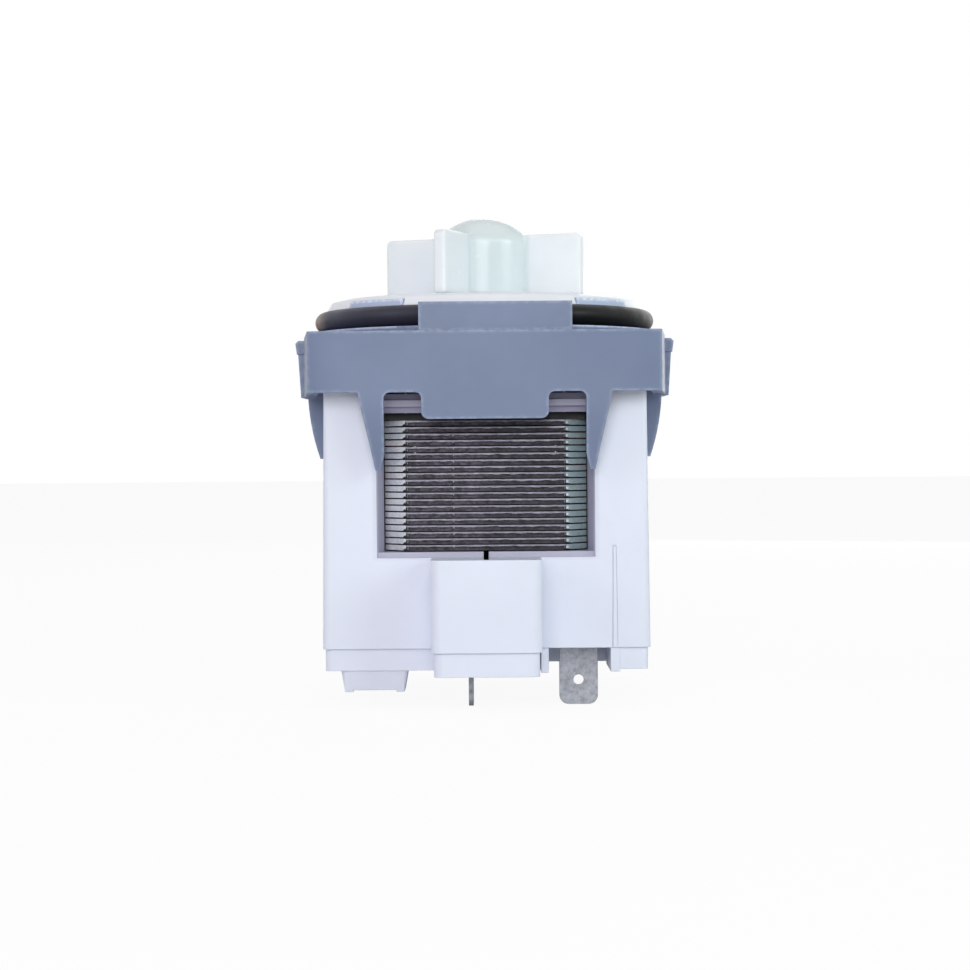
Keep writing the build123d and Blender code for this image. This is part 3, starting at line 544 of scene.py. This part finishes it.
# Edges. These pieces get a small radius; the other mouldings have soft edges in their finish.
EDGE_ANGLE = math.radians(28)
FLAT_ANGLE = math.radians(0.3)
WELD_REACH = 0.001 * MM
EDGE_STEPS = 2
EDGE_RADIUS = {
    "coil_housing": 0.08 * MM,
    "terminal_tab_right": 0.08 * MM,
    "terminal_tab_centre": 0.08 * MM,
}

# The impeller's fillets: its mesh is rebuilt in fine cells and relaxed a little
FILLET_CELL = 0.2 * MM
FILLET_STEPS = 8
FILLET_SHARE = 0.5


def smoothing():
    """A modifier group that shades faces smooth across every edge flatter than EDGE_ANGLE."""
    group = bpy.data.node_groups.new("smooth_by_angle", "GeometryNodeTree")
    for in_out in ("INPUT", "OUTPUT"):
        group.interface.new_socket(
            name="Geometry", in_out=in_out, socket_type="NodeSocketGeometry"
        )
    start = group.nodes.new("NodeGroupInput")
    end = group.nodes.new("NodeGroupOutput")
    faces = group.nodes.new("GeometryNodeSetShadeSmooth")
    edges = group.nodes.new("GeometryNodeSetShadeSmooth")
    edges.domain = "EDGE"
    edges.inputs["Shade Smooth"].default_value = False
    angle = group.nodes.new("GeometryNodeInputMeshEdgeAngle")
    sharp = group.nodes.new("FunctionNodeCompare")
    sharp.operation = "GREATER_THAN"
    sharp.inputs["B"].default_value = EDGE_ANGLE
    group.links.new(angle.outputs["Unsigned Angle"], sharp.inputs["A"])
    group.links.new(sharp.outputs["Result"], edges.inputs["Selection"])
    group.links.new(start.outputs["Geometry"], faces.inputs["Geometry"])
    group.links.new(faces.outputs["Geometry"], edges.inputs["Geometry"])
    group.links.new(edges.outputs["Geometry"], end.inputs["Geometry"])
    return group


def fillet(node):
    """Round every inner and outer corner of a node."""
    cells = node.modifiers.new("cells", "REMESH")
    cells.mode = "VOXEL"
    cells.voxel_size = FILLET_CELL
    cells.use_smooth_shade = True
    relax = node.modifiers.new("relax", "SMOOTH")
    relax.factor = FILLET_SHARE
    relax.iterations = FILLET_STEPS


def dissolve_flats(node):
    """Join the facets of each flat face, so that the edges can be cut evenly."""
    flats = node.modifiers.new("flats", "DECIMATE")
    flats.decimate_type = "DISSOLVE"
    flats.angle_limit = FLAT_ANGLE


def break_edges(node, radius):
    """Give every sharp edge a small radius, while flat faces stay flat."""
    bevel = node.modifiers.new("edges", "BEVEL")
    bevel.width = radius
    bevel.segments = EDGE_STEPS
    bevel.limit_method = "ANGLE"
    bevel.angle_limit = EDGE_ANGLE
    bevel.harden_normals = True
    bevel.use_clamp_overlap = False
    bevel.loop_slide = False


smooth_group = smoothing()
fillet(nodes["impeller"])
for name, node in nodes.items():
    node.modifiers.new("weld", "WELD").merge_threshold = WELD_REACH
    if name in EDGE_RADIUS:
        dissolve_flats(node)
    if name != "impeller":
        node.modifiers.new("smooth", "NODES").node_group = smooth_group
    if name in EDGE_RADIUS:
        break_edges(node, EDGE_RADIUS[name])


def mesh_piece(name, points, faces, materials, body, slot, *replaced):
    """A finished mesh that rides a body and stands for CAD nodes.

    Each face is its corners and the number of its material.
    """
    mesh = bpy.data.meshes.new(name)
    mesh.from_pydata(points, [], [corners for corners, _ in faces])
    for material in materials:
        mesh.materials.append(material)
    for polygon, (_, material) in zip(mesh.polygons, faces):
        polygon.material_index = material
    mesh.update()
    piece = bpy.data.objects.new(name, mesh)
    scene.collection.objects.link(piece)
    piece.modifiers.new("smooth", "NODES").node_group = smooth_group
    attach(piece, body)
    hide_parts(*replaced)


# Stator cores: separate stamped sheets. Plan of the left one, measured from the pump's axis
SHEET_COUNT = 20
SHEET_GAP = 0.14 * MM
JOINT = 5.3 * MM
BOSS_FLAT = 13.0 * MM
BOSS_HALF = 16.5 * MM
BAR_OUTER = 20.4 * MM
BAR_INNER = 15.0 * MM
YOKE_INNER = 19.0 * MM
POLE_HALF = 8.5 * MM
BORE_RADIUS = 12.4 * MM
BORE_STEPS = 12
RIVET_X = 21.45 * MM
RIVET_Y = 17.7 * MM
RIVET_RADIUS = 1.28 * MM
RIVET_SIDES = 16

# Small offset of each sheet, and how much of it goes along y
SHEET_JITTER = 0.045 * MM
JITTER_Y = 0.6

# Steps in noise that set cores, sheets and rows apart
CORE_SEED = 40
JITTER_SEED = 1.7
BAND_SEED = 7.31
RIPPLE_SEED = 3.17
TEAR_SEED = 5.7
TEAR_ROW_SEED = 1.9
DENT_SEED = 2.3

# Where the edge shows it is cut into columns, and every column into rows
COLUMN_STEP = 0.17 * MM
SHOWN_MARGIN = 1 * MM
ROW_STEPS = 8

# Burnished band: its rolled-over top as depth and drop, its height and waves, and its tick
ROLL_OVER = [(0.05 * MM, 0.0), (0.012 * MM, 0.03 * MM), (0.0, 0.09 * MM)]
BAND_HEIGHT = 0.31 * MM
BAND_WAVE = 0.12 * MM
BAND_WAVE_LENGTH = 1.3 * MM
BAND_RIPPLE = 0.5 * BAND_WAVE
BAND_RIPPLE_LENGTH = 0.42 * MM
BAND_LIP = 0.02 * MM
TICK_HEIGHT = 0.56 * MM
TICK_WIDTH = 0.12 * MM

# Torn zone: depth, in parts of TEAR_DEPTH, and share of the way down for each row
TEAR_DEPTH = 0.11 * MM
TEAR_ROWS = ((0.75, 0.06), (1.0, 0.35), (1.15, 0.65), (0.9, 0.9), (0.7, 1.0))
TEAR_ROUGHNESS = 0.35
TEAR_LENGTH = 0.35 * MM

# A deep slit beside each end of the boss, with a ridge in it
SLIT_START = 12.45 * MM
RIDGE_START = 12.62 * MM
RIDGE_END = 12.84 * MM
RIDGE_DEPTH = 0.3
RIDGE_ROWS = slice(4, 7)

# Sloped ends of the boss, burnished over their full height, with a painted reflection in their
# colour. The cuts give over what width and how high the lower edge is rounded away, at the ends of
# the long and the short arm
CORNER_MARGIN = 0.02 * MM
CORNER_ROLL_OVER = [(0.045 * MM, 0.0), (0.012 * MM, 0.03 * MM), (0.0, 0.09 * MM)]
CORNER_ROWS = (0.3, 0.5, 0.7)
CORNER_LIP = 0.08 * MM
CORNER_DEPTHS = (0.01 * MM, 0.035 * MM, 0.1 * MM)
LONG_ARM_CUT = (0.9 * MM, 0.16 * MM)
SHORT_ARM_CUT = (0.6 * MM, 0.42 * MM)
DENT_DEPTH = 0.008 * MM
DENT_LENGTH = 0.6 * MM
ROW_SPACE = 0.01 * MM
ROUNDED_SHARE = 0.8
DOT_START = 13.0 * MM
DOT_END = 13.4 * MM

core_low, core_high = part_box("stator_core_left")
CORE_TOP = core_high[2]
BOSS_REACH = core_high[1]
YOKE_OUTER = -core_low[0]
SHEET_PITCH = (core_high[2] - core_low[2]) / SHEET_COUNT
SHEET_THICKNESS = SHEET_PITCH - SHEET_GAP


def left_outline():
    """Corners of one left sheet, anticlockwise from its front joint."""
    bore_corner = math.sqrt(BORE_RADIUS**2 - POLE_HALF**2)
    start = math.atan2(POLE_HALF, -bore_corner)
    bore = []
    for step in range(1, BORE_STEPS):
        angle = start + 2 * (math.pi - start) * step / BORE_STEPS
        bore.append((BORE_RADIUS * math.cos(angle), BORE_RADIUS * math.sin(angle)))
    return [
        (-JOINT, -BAR_INNER),
        (-YOKE_INNER, -BAR_INNER),
        (-YOKE_INNER, -POLE_HALF),
        (-bore_corner, -POLE_HALF),
        *reversed(bore),
        (-bore_corner, POLE_HALF),
        (-YOKE_INNER, POLE_HALF),
        (-YOKE_INNER, BAR_INNER),
        (JOINT, BAR_INNER),
        (JOINT, BOSS_REACH),
        (-BOSS_FLAT, BOSS_REACH),
        (-BOSS_HALF, BAR_OUTER),
        (-YOKE_OUTER, BAR_OUTER),
        (-YOKE_OUTER, -BAR_OUTER),
        (-BOSS_HALF, -BAR_OUTER),
        (-BOSS_FLAT, -BOSS_REACH),
        (-JOINT, -BOSS_REACH),
    ]


def rivet_holes():
    """Outlines of the two rivet holes of one left sheet, clockwise."""
    holes = []
    for sign in (-1, 1):
        hole = []
        for step in range(RIVET_SIDES):
            angle = -2 * math.pi * step / RIVET_SIDES
            x = -RIVET_X + RIVET_RADIUS * math.cos(angle)
            y = sign * RIVET_Y + RIVET_RADIUS * math.sin(angle)
            hole.append((x, y))
        holes.append(hole)
    return holes


def on_boss(start, end):
    """Whether a stretch of the outline is part of a boss, which a window shows."""
    outer = min(abs(start.y), abs(end.y)) > BAR_OUTER - SHOWN_MARGIN
    return outer and max(abs(start.x), abs(end.x)) < BOSS_HALF + SHOWN_MARGIN


def edge_columns(outline):
    """Points along the outline with their inward normals, close together where the boss shows."""
    columns = []
    for start, end in zip(outline, outline[1:] + outline[:1]):
        start, end = Vector(start), Vector(end)
        along = end - start
        shown = on_boss(start, end)
        count = max(round(along.length / COLUMN_STEP), 1) if shown else 1
        inward = Vector((-along.y, along.x)).normalized()
        for step in range(count):
            place = start + along * ((step + 0.5) / count if shown else 0.0)
            if shown and step == 0:
                columns.append((start, inward, True))
            columns.append((place, inward, shown))
    return columns


def waver(x, length, *seed):
    """Noise from about -1 to 1 along a cut edge. The seed sets sheets, rows and sides apart."""
    return noise.noise(Vector((x / length, *seed)))


def band_height(x, sheet, side):
    """How far down the burnished band reaches, with a tick at the joint of the two cores."""
    if 0 <= JOINT - x * side < TICK_WIDTH:
        return TICK_HEIGHT
    wave = waver(x, BAND_WAVE_LENGTH, sheet * BAND_SEED, side)
    ripple = waver(x, BAND_RIPPLE_LENGTH, sheet * RIPPLE_SEED, side + 9)
    return BAND_HEIGHT + BAND_WAVE * wave + BAND_RIPPLE * ripple


def edge_rows(point, shown, sheet):
    """Rows of the cut edge: depth into the sheet, drop below its top, and their materials."""
    x, y = point
    side = math.copysign(1, y)
    if not shown:
        flat = [(0.0, SHEET_THICKNESS * row / ROW_STEPS) for row in range(ROW_STEPS + 1)]
        return flat, [TORN] * ROW_STEPS
    if abs(x) > BOSS_FLAT + CORNER_MARGIN:
        return corner_rows(x, sheet, side)
    band = band_height(x, sheet, side)
    below = SHEET_THICKNESS - band
    rows = [*ROLL_OVER, (0.0, band - BAND_LIP)]
    for row, (depth, share) in enumerate(TEAR_ROWS):
        seed = sheet * TEAR_SEED + row * TEAR_ROW_SEED
        rough = waver(x, TEAR_LENGTH, seed, side * 3)
        rows.append(((depth + TEAR_ROUGHNESS * rough) * TEAR_DEPTH, band + below * share))
    # The darkest torn finish is painted shade: in the row just under the band, in the slit beside
    # each end of the boss and at the lower edge
    if RIDGE_START < abs(x) < RIDGE_END:
        rows[RIDGE_ROWS] = [(RIDGE_DEPTH * depth, drop) for depth, drop in rows[RIDGE_ROWS]]
        return rows, [BAND] * 3 + [TORN_SHADOW, BAND, BAND, TORN_SHADOW, TORN_SHADOW]
    if abs(x) > SLIT_START:
        return rows, [BAND] * 3 + [TORN_SHADOW] * 5
    return rows, [BAND] * 3 + [TORN_SHADOW, TORN, TORN, TORN, TORN_SHADOW]


def corner_rows(x, sheet, side):
    """Rows of the sloped end of the boss, with a rounded lower edge."""
    on_long_arm = x * side < 0
    cut_width, cut_rise = LONG_ARM_CUT if on_long_arm else SHORT_ARM_CUT
    round_off = min((abs(x) - BOSS_FLAT) / cut_width, 1.0)
    bottom = SHEET_THICKNESS - CORNER_LIP
    edge = bottom - cut_rise * (1 - round_off)
    rows = list(CORNER_ROLL_OVER)
    for row, share in enumerate(CORNER_ROWS):
        dent = waver(x, DENT_LENGTH, sheet * DENT_SEED + row, side)
        rows.append((DENT_DEPTH * (1 + dent), share * SHEET_THICKNESS))
    rows = [
        (depth, min(drop, edge - ROW_SPACE * (ROW_STEPS - row)))
        for row, (depth, drop) in enumerate(rows)
    ]
    rows += zip(CORNER_DEPTHS, (edge, bottom, SHEET_THICKNESS))
    # A painted glint dot on the long arm; painted shade in the lowest row until the edge is rounded
    # away
    spot = GLINT if on_long_arm and DOT_START < abs(x) < DOT_END else CORNER_REFLECTION
    lowest = TORN_SHADOW if round_off < ROUNDED_SHARE else CORNER_REFLECTION
    return rows, [CORNER_REFLECTION] * 3 + [spot, spot, CORNER_REFLECTION, lowest, TORN_SHADOW]


def cut_edge(points, faces, columns, seed, top):
    """Add the cut edge of one sheet. Returns the rims of its upper and its lower face."""
    slip = Vector(
        (
            SHEET_JITTER * noise.noise(Vector((seed * JITTER_SEED, 0.3, 0.0))),
            SHEET_JITTER * noise.noise(Vector((seed * JITTER_SEED, 5.3, 0.0))) * JITTER_Y,
        )
    )
    first = len(points)
    row_count = ROW_STEPS + 1
    materials = []
    for point, inward, shown in columns:
        rows, kinds = edge_rows(point, shown, seed)
        materials.append(kinds)
        for depth, drop in rows:
            place = point + inward * depth + (slip if shown else Vector((0, 0)))
            points.append((place.x, place.y, top - drop))
    for column, kinds in enumerate(materials):
        after = (column + 1) % len(columns)
        for row, kind in enumerate(kinds):
            here = first + column * row_count + row
            ahead = first + after * row_count + row
            faces.append(((here + 1, ahead + 1, ahead, here), kind))
    end = len(points)
    return range(first, end, row_count), range(first + ROW_STEPS, end, row_count)


def flat_face(points, faces, rim, holes, level, flip):
    """Add the upper or lower face of one sheet. Returns the rims of its rivet holes."""
    rims = [rim]
    for hole in holes:
        start = len(points)
        points.extend((x, y, level) for x, y in hole)
        rims.append(range(start, start + RIVET_SIDES))
    indices = [index for loop in rims for index in loop]
    loops = [[Vector(points[index]) for index in loop] for loop in rims]
    for triangle in geometry.tessellate_polygon(loops):
        corners = [indices[index] for index in triangle]
        faces.append((upward(points, corners, flip), TORN))
    return rims[1:]


def upward(points, corners, flip):
    """The corners of a triangle, turned to face up, or down if flipped."""
    a, b, c = (Vector(points[index]) for index in corners)
    faces_up = (b - a).cross(c - a).z > 0
    return tuple(corners) if faces_up != flip else tuple(reversed(corners))


def sheet_pack(name, turn, node):
    """One core as a pack of sheets, each a closed plate with its own small offset."""
    points = []
    faces = []
    columns = edge_columns(left_outline())
    holes = rivet_holes()
    for sheet in range(SHEET_COUNT):
        seed = sheet + CORE_SEED * turn
        top = CORE_TOP - sheet * SHEET_PITCH
        upper_rim, lower_rim = cut_edge(points, faces, columns, seed, top)
        upper_holes = flat_face(points, faces, upper_rim, holes, top, False)
        lower_holes = flat_face(points, faces, lower_rim, holes, top - SHEET_THICKNESS, True)
        for upper, lower in zip(upper_holes, lower_holes):
            for step in range(RIVET_SIDES):
                after = (step + 1) % RIVET_SIDES
                faces.append(((lower[step], lower[after], upper[after], upper[step]), TORN))
    if turn:
        points = [(-x, -y, z) for x, y, z in points]
    mesh_piece(name, points, faces, sheet_finishes, "housing", "core_steel", node)


sheet_pack("sheets_left", 0, "stator_core_left")
sheet_pack("sheets_right", 1, "stator_core_right")

# O-ring: a round section, nipped from above by the sectors of the cap's edge
SECTOR_NIP = 0.95 * MM
RING_STEPS = 192
SECTION_STEPS = 28
ring_low, ring_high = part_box("flange_o_ring")
section_radius = (ring_high[2] - ring_low[2]) / 2
ring_radius = ring_high[0] - section_radius
nip_level = ring_high[2] - SECTOR_NIP


def o_ring():
    """The ring as a torus, with its inner upper side pressed flat."""
    points = []
    faces = []
    for turn in range(RING_STEPS):
        angle = 2 * math.pi * turn / RING_STEPS
        here = turn * SECTION_STEPS
        ahead = (turn + 1) % RING_STEPS * SECTION_STEPS
        for step in range(SECTION_STEPS):
            around = 2 * math.pi * step / SECTION_STEPS
            radius = ring_radius + section_radius * math.cos(around)
            height = ring_low[2] + section_radius * (1 + math.sin(around))
            if height > nip_level and radius < ring_radius:
                height = nip_level
            points.append((radius * math.cos(angle), radius * math.sin(angle), height))
            up = (step + 1) % SECTION_STEPS
            faces.append(((here + step, ahead + step, ahead + up, here + up), 0))
    finish = slot_finish["seal_rubber"]
    mesh_piece("o_ring", points, faces, [finish], "housing", "seal_rubber", "flange_o_ring")


o_ring()


def aimed(place, target):
    """The turn of a camera or lamp at a place that looks at a target."""
    return (Vector(target) - Vector(place)).to_track_quat("-Z", "Y")


# Camera at the photograph's viewing angle
camera = bpy.data.objects.new("camera", bpy.data.cameras.new("camera"))
scene.collection.objects.link(camera)
scene.camera = camera
camera.data.sensor_width = SENSOR
camera.data.lens = SENSOR * CAMERA_DISTANCE / (PICTURE_PIXELS * PIXEL_AT_AXIS)
camera.data.clip_start = CLIP_START
eye = Vector((CAMERA_SHIFT, -CAMERA_DISTANCE, EYE_HEIGHT))
look = aimed(eye, (CAMERA_SHIFT, 0, LOOK_HEIGHT)).to_matrix().to_4x4()
roll = Matrix.Rotation(CAMERA_ROLL, 4, "Z")
camera.matrix_world = Matrix.Translation(eye) @ look @ roll

# Lamps: square and soft, each with its name, place, size, power and colour
LAMP_TARGET = (0, 0, -0.02)
LAMPS = (
    ("front", (-0.06, -0.68, 0.22), 0.36, 1.9, (1, 1, 1)),
    ("left", (-0.62, -0.30, 0.34), 0.35, 1.3, (0.95, 0.95, 1.0)),
    ("right", (0.57, -0.38, 0.22), 0.30, 1.6, (0.87, 1.0, 0.95)),
    ("top", (0.05, 0.20, 0.75), 0.6, 0.75, (1, 1, 1)),
    ("rear", (0.22, 0.62, 0.08), 0.50, 0.9, (1, 1, 1)),
)
for name, place, size, power, colour in LAMPS:
    light = bpy.data.lights.new(name, "AREA")
    light.shape = "SQUARE"
    light.size = size
    light.energy = power
    light.color = colour
    lamp = bpy.data.objects.new(name, light)
    scene.collection.objects.link(lamp)
    lamp.location = place
    lamp.rotation_euler = aimed(place, LAMP_TARGET).to_euler()

# World: white where it is seen, plain soft light where it lights
WORLD_LIGHT = 0.2
WHITE = (1, 1, 1, 1)
world = bpy.data.worlds.new("studio")
scene.world = world
world.use_nodes = True
tree = world.node_tree
background = tree.nodes["Background"]
background.inputs["Color"].default_value = WHITE
paths = tree.nodes.new("ShaderNodeLightPath")
seen = paths.outputs["Is Camera Ray"]
for kind in ("Is Glossy Ray", "Is Transmission Ray"):
    either = tree.nodes.new("ShaderNodeMath")
    either.operation = "MAXIMUM"
    tree.links.new(seen, either.inputs[0])
    tree.links.new(paths.outputs[kind], either.inputs[1])
    seen = either.outputs["Value"]
level = tree.nodes.new("ShaderNodeMapRange")
level.inputs["To Min"].default_value = WORLD_LIGHT
level.inputs["To Max"].default_value = 1.0
tree.links.new(seen, level.inputs["Value"])
tree.links.new(level.outputs["Result"], background.inputs["Strength"])

# Floor: white to the camera, with a share of real light that keeps the shadow
FLOOR_SIZE = 6.0
FLOOR_SHARE = 0.93
half = FLOOR_SIZE / 2
floor_mesh = bpy.data.meshes.new("floor")
floor_corners = [(-half, -half, 0), (half, -half, 0), (half, half, 0), (-half, half, 0)]
floor_mesh.from_pydata(floor_corners, [], [(0, 1, 2, 3)])
floor = bpy.data.objects.new("floor", floor_mesh)
floor.location.z = cad_box[0][2]
scene.collection.objects.link(floor)
floor_shader = Shader("floor", FLOOR_WHITE, 0.7)
paths = floor_shader.node("ShaderNodeLightPath")
share = floor_shader.spread(paths.outputs["Is Camera Ray"], 0, 1, 0, FLOOR_SHARE)
glow = floor_shader.node("ShaderNodeEmission")
glow.inputs["Color"].default_value = WHITE
blend = floor_shader.node("ShaderNodeMixShader")
floor_shader.link(share, blend.inputs["Fac"])
floor_shader.link(floor_shader.shader.outputs["BSDF"], blend.inputs[1])
floor_shader.link(glow.outputs["Emission"], blend.inputs[2])
output = floor_shader.tree.nodes["Material Output"]
floor_shader.link(blend.outputs["Shader"], output.inputs["Surface"])
floor_mesh.materials.append(floor_shader.material)
